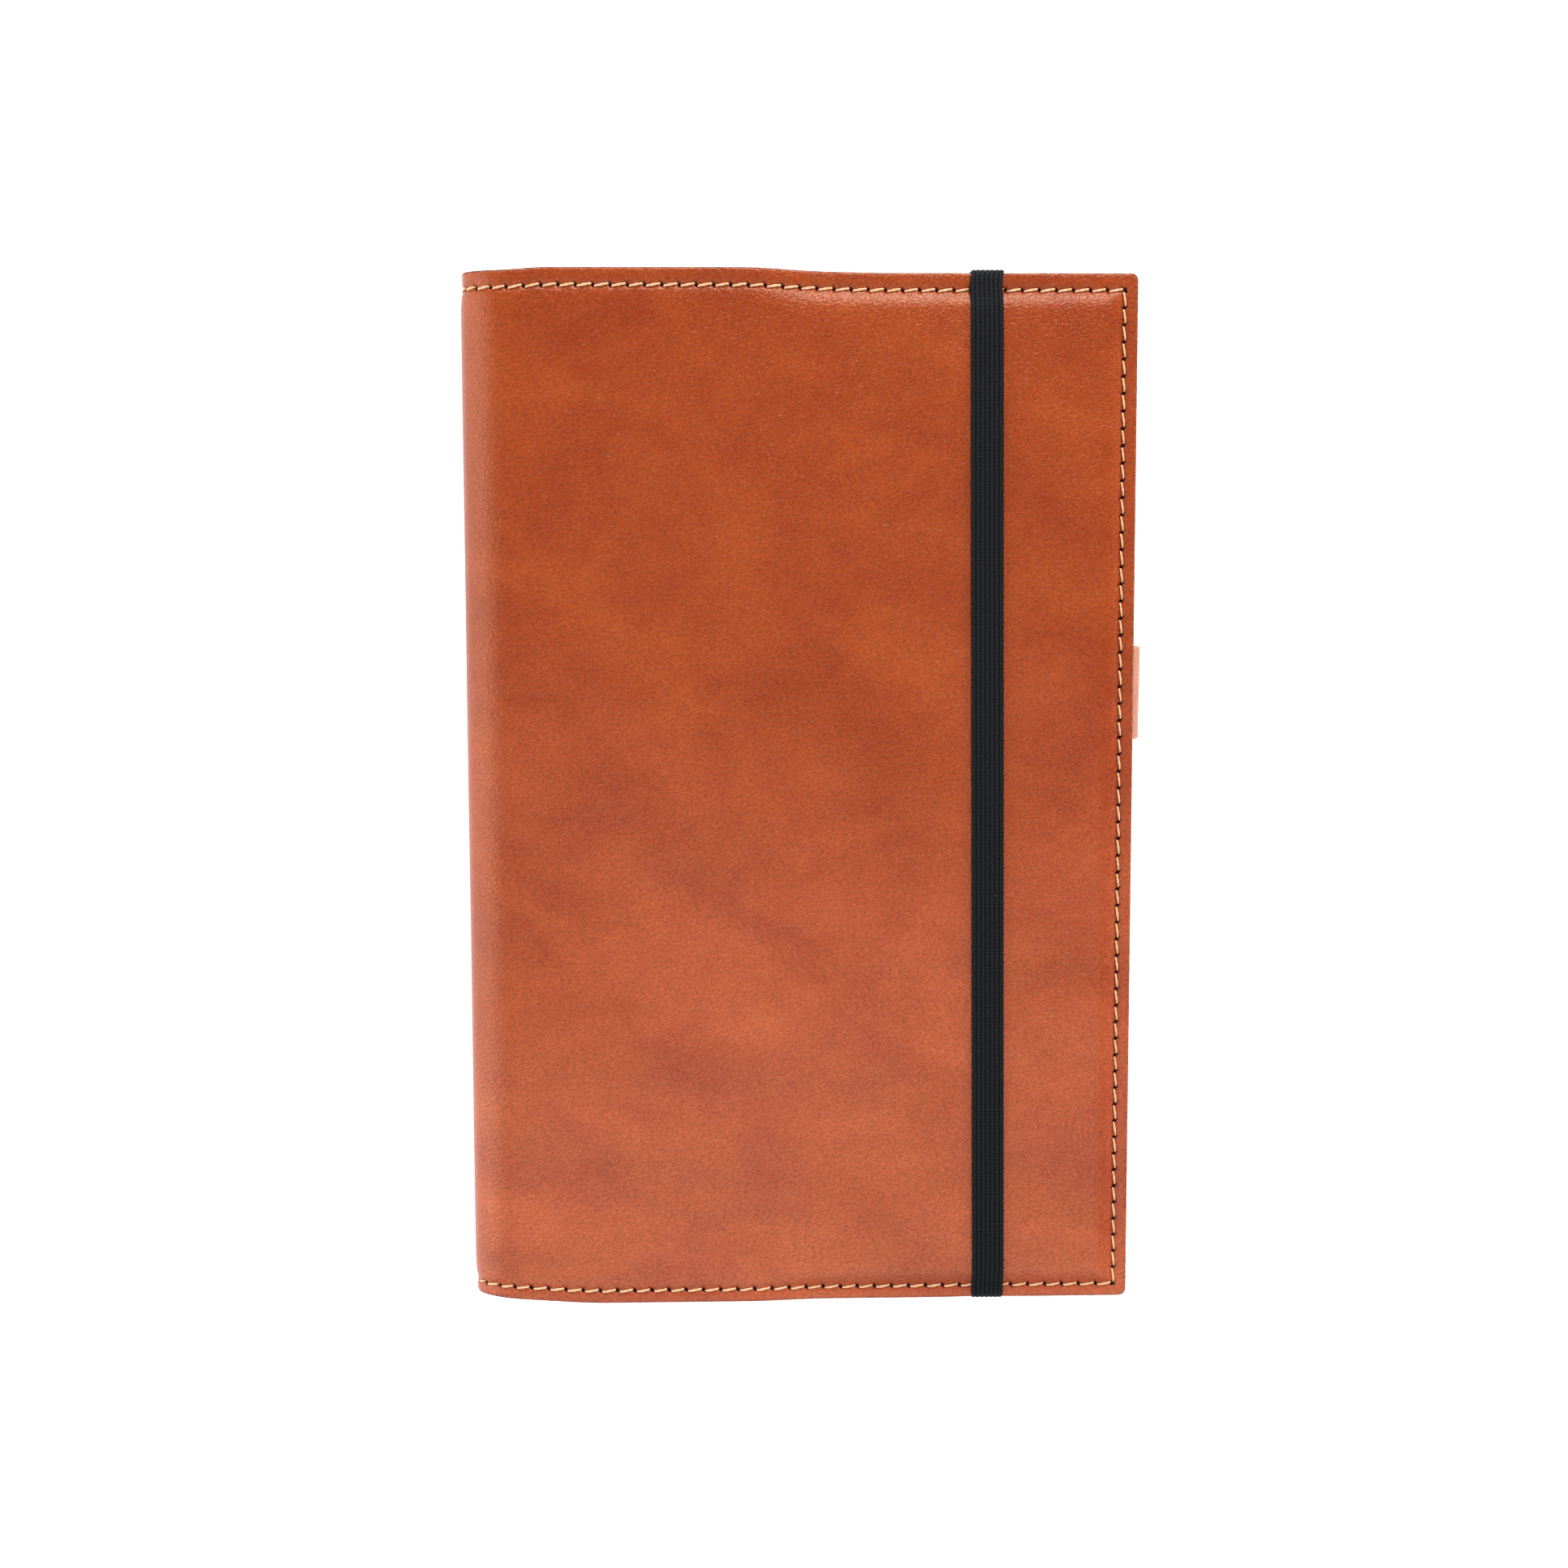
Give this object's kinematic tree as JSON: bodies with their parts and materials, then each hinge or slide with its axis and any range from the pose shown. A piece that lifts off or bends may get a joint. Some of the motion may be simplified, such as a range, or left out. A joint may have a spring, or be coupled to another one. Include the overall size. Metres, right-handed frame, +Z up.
{
  "type": "leather notebook cover",
  "caption": "Stitched leather cover closed round a hardcover notebook, with a hinged spine, inner pockets, a pen loop and an elastic band that pulls off the fore-edge.",
  "frame": {"origin": "on the resting face under the back cover, midway between spine and fore-edge and between head and foot, leaving out the pen loop that stands past the fore-edge", "axes": "+X from the spine to the fore-edge, +Y from the foot to the head, +Z up out of the front cover"},
  "size_m": [0.1444, 0.2222, 0.0196],
  "materials": {
    "outer_leather": "satin, burnished tan",
    "lining_leather": "matt suede",
    "pocket_leather": "satin",
    "natural_leather": "natural, undyed",
    "thread": "waxed thread",
    "elastic": "ribbed woven elastic",
    "book_cloth": "black book cloth over board",
    "endpaper": "matt",
    "pages": "matt, cut edges",
    "spine_cloth": "open weave mull",
    "headband": "striped woven band"
  },
  "bodies": {
    "back_cover": {"back_leather": "outer_leather", "back_lining": "lining_leather", "back_pocket": "pocket_leather", "back_thread": "thread", "notebook_back_board": "book_cloth", "notebook_back_endpaper": "endpaper", "page_signatures": "pages", "block_spine_cloth": "spine_cloth", "headbands": "headband", "pen_loop": "natural_leather", "pen_loop_thread": "thread"},
    "spine_1": {"spine_leather_1": "outer_leather", "spine_lining_1": "lining_leather", "spine_thread_1": "thread", "notebook_spine_1": "book_cloth"},
    "spine_2": {"spine_leather_2": "outer_leather", "spine_lining_2": "lining_leather", "spine_thread_2": "thread", "notebook_spine_2": "book_cloth"},
    "spine_3": {"spine_leather_3": "outer_leather", "spine_lining_3": "lining_leather", "spine_thread_3": "thread", "notebook_spine_3": "book_cloth"},
    "spine_4": {"spine_leather_4": "outer_leather", "spine_lining_4": "lining_leather", "spine_thread_4": "thread", "notebook_spine_4": "book_cloth"},
    "spine_5": {"spine_leather_5": "outer_leather", "spine_lining_5": "lining_leather", "spine_thread_5": "thread", "notebook_spine_5": "book_cloth"},
    "front_cover": {"front_leather": "outer_leather", "front_lining": "lining_leather", "front_pocket": "pocket_leather", "front_thread": "thread", "notebook_front_board": "book_cloth", "notebook_front_endpaper": "endpaper"},
    "elastic": {"elastic_band": "elastic"}
  },
  "joints": [
    {"name": "spine_fold_1", "type": "hinge", "parent": "back_cover", "child": "spine_1", "pos_m": [-0.06281, 0, 0], "axis": [0, -1, 0], "range_deg": [0, 30.12]},
    {"name": "spine_fold_2", "type": "hinge", "parent": "spine_1", "child": "spine_2", "pos_m": [-0.06844, 0, 0.00326], "axis": [0, -1, 0], "range_deg": [0, 30.12]},
    {"name": "spine_fold_3", "type": "hinge", "parent": "spine_2", "child": "spine_3", "pos_m": [-0.07102, 0, 0.00778], "axis": [0, -1, 0], "range_deg": [0, 30.12]},
    {"name": "spine_fold_4", "type": "hinge", "parent": "spine_3", "child": "spine_4", "pos_m": [-0.07098, 0, 0.01298], "axis": [0, -1, 0], "range_deg": [0, 30.12]},
    {"name": "spine_fold_5", "type": "hinge", "parent": "spine_4", "child": "spine_5", "pos_m": [-0.06885, 0, 0.0166], "axis": [0, -1, 0], "range_deg": [0, 30.12]},
    {"name": "front_open", "type": "hinge", "parent": "spine_5", "child": "front_cover", "pos_m": [-0.06345, 0, 0.01964], "axis": [0, -1, 0], "range_deg": [0, 30.12]},
    {"name": "band_off", "type": "slide", "parent": "back_cover", "child": "elastic", "axis": [1, 0, 0], "range_m": [0, 0.0381], "deforming": ["elastic_band"]}
  ],
  "couplings": [
    {"joint": "spine_fold_1", "follows": "front_open", "ratio": 1},
    {"joint": "spine_fold_2", "follows": "front_open", "ratio": 1},
    {"joint": "spine_fold_3", "follows": "front_open", "ratio": 1},
    {"joint": "spine_fold_4", "follows": "front_open", "ratio": 1},
    {"joint": "spine_fold_5", "follows": "front_open", "ratio": 1}
  ]
}
